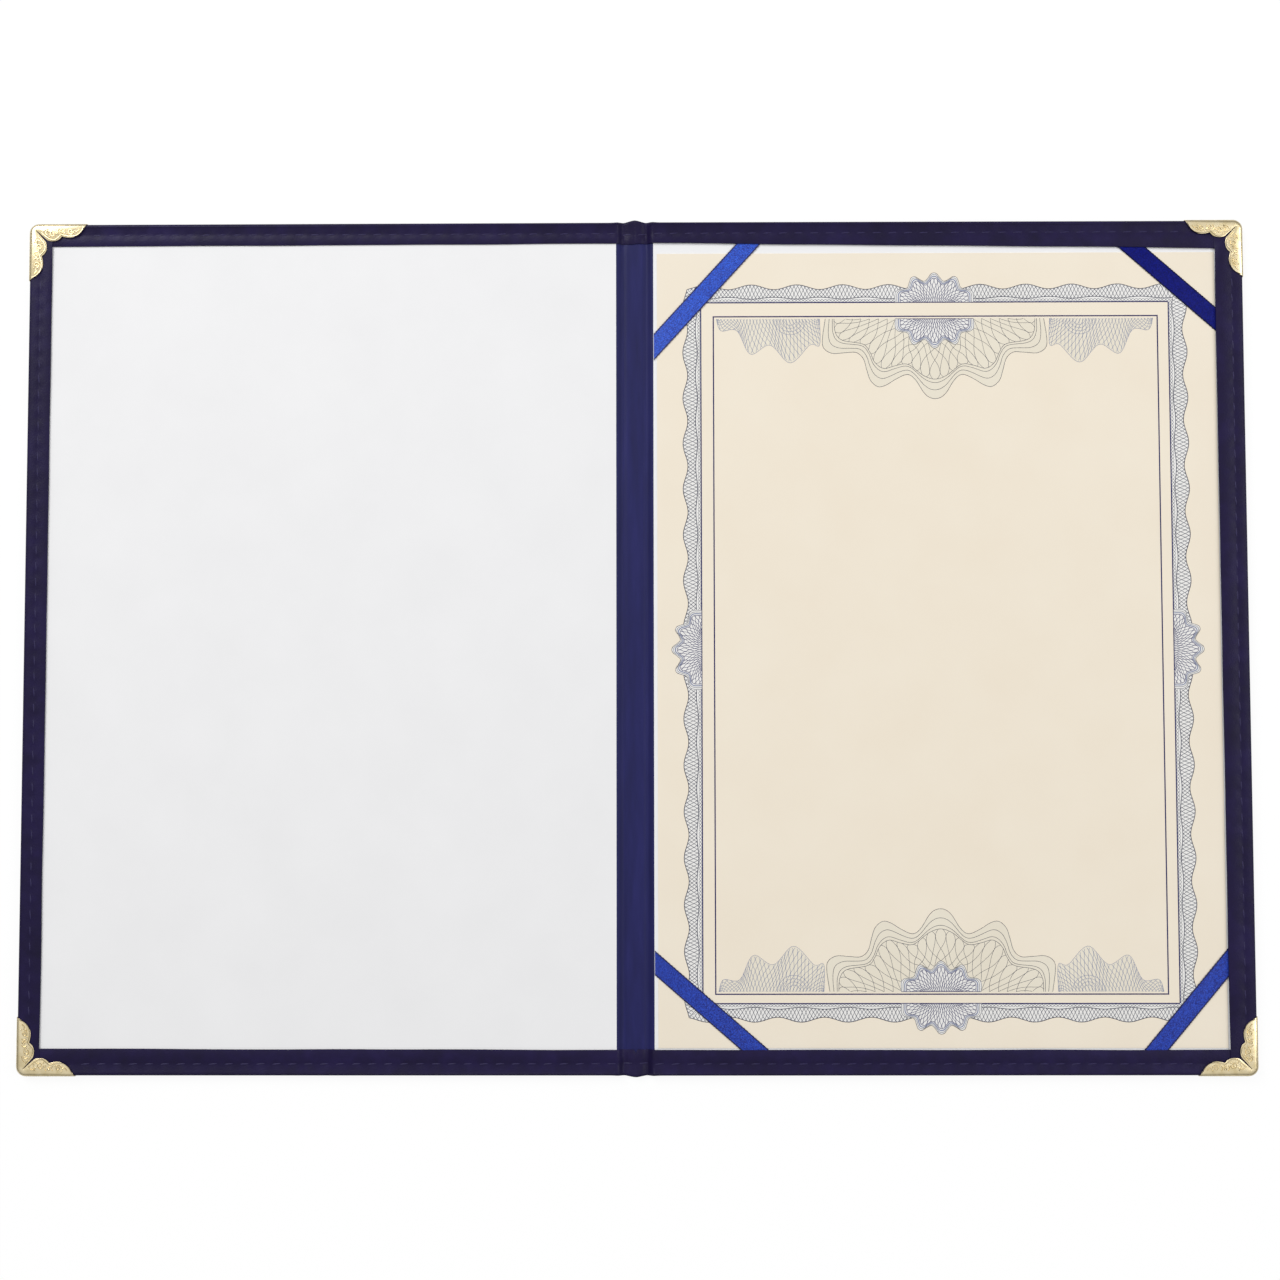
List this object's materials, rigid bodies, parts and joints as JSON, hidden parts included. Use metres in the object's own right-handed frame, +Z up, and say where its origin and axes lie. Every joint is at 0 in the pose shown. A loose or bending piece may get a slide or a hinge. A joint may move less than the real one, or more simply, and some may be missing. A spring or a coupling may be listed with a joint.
{
  "type": "diploma cover",
  "caption": "Two-panel cover for a certificate, with stitched turned-in edges, brass corner caps, corner ribbons and a folding spine.",
  "frame": {"origin": "on the table under the middle of the spine", "axes": "+X across to the certificate panel, +Y up the page, +Z up from the table"},
  "size_m": [0.4588, 0.3198, 0.0046],
  "materials": {
    "leather": "navy leather-look skin, fine grain, satin",
    "board": "grey board",
    "lining": "navy lining strip, matt",
    "liner": "white paper, matt",
    "certificate": "cream certificate paper",
    "print_tint": "pale printed ornament",
    "print_ink": "indigo printed line",
    "satin": "royal blue satin ribbon",
    "brass": "pale gold pressed sheet, bright"
  },
  "bodies": {
    "right_cover": {"brass_corner_bottom_right": "brass", "brass_corner_top_right": "brass", "certificate": "certificate", "print_border": "print_tint", "print_core_bottom_inner": "print_ink", "print_core_bottom_outer": "print_ink", "print_core_top_inner": "print_ink", "print_core_top_outer": "print_ink", "print_flourish_bottom_left": "print_tint", "print_flourish_bottom_right": "print_tint", "print_flourish_top_left": "print_tint", "print_flourish_top_right": "print_tint", "print_frame_line": "print_ink", "print_rosette_bottom": "print_tint", "print_rosette_left": "print_tint", "print_rosette_right": "print_tint", "print_rosette_top": "print_tint", "ribbon_bottom_left": "satin", "ribbon_bottom_right": "satin", "ribbon_top_left": "satin", "ribbon_top_right": "satin", "right_board": "board", "right_cover_skin": "leather", "right_liner": "liner", "right_lining_strip": "lining"},
    "spine": {"spine_board": "board", "spine_lining": "lining", "spine_skin": "leather"},
    "left_cover": {"brass_corner_bottom_left": "brass", "brass_corner_top_left": "brass", "left_board": "board", "left_cover_skin": "leather", "left_liner": "liner", "left_lining_strip": "lining"}
  },
  "joints": [
    {"name": "right_crease", "type": "hinge", "parent": "right_cover", "child": "spine", "pos_m": [0.00441, 0, 0.0003], "axis": [0, 1, 0], "range_deg": [0, 90]},
    {"name": "left_crease", "type": "hinge", "parent": "spine", "child": "left_cover", "pos_m": [-0.00441, 0, 0.0003], "axis": [0, 1, 0], "range_deg": [0, 90]}
  ]
}
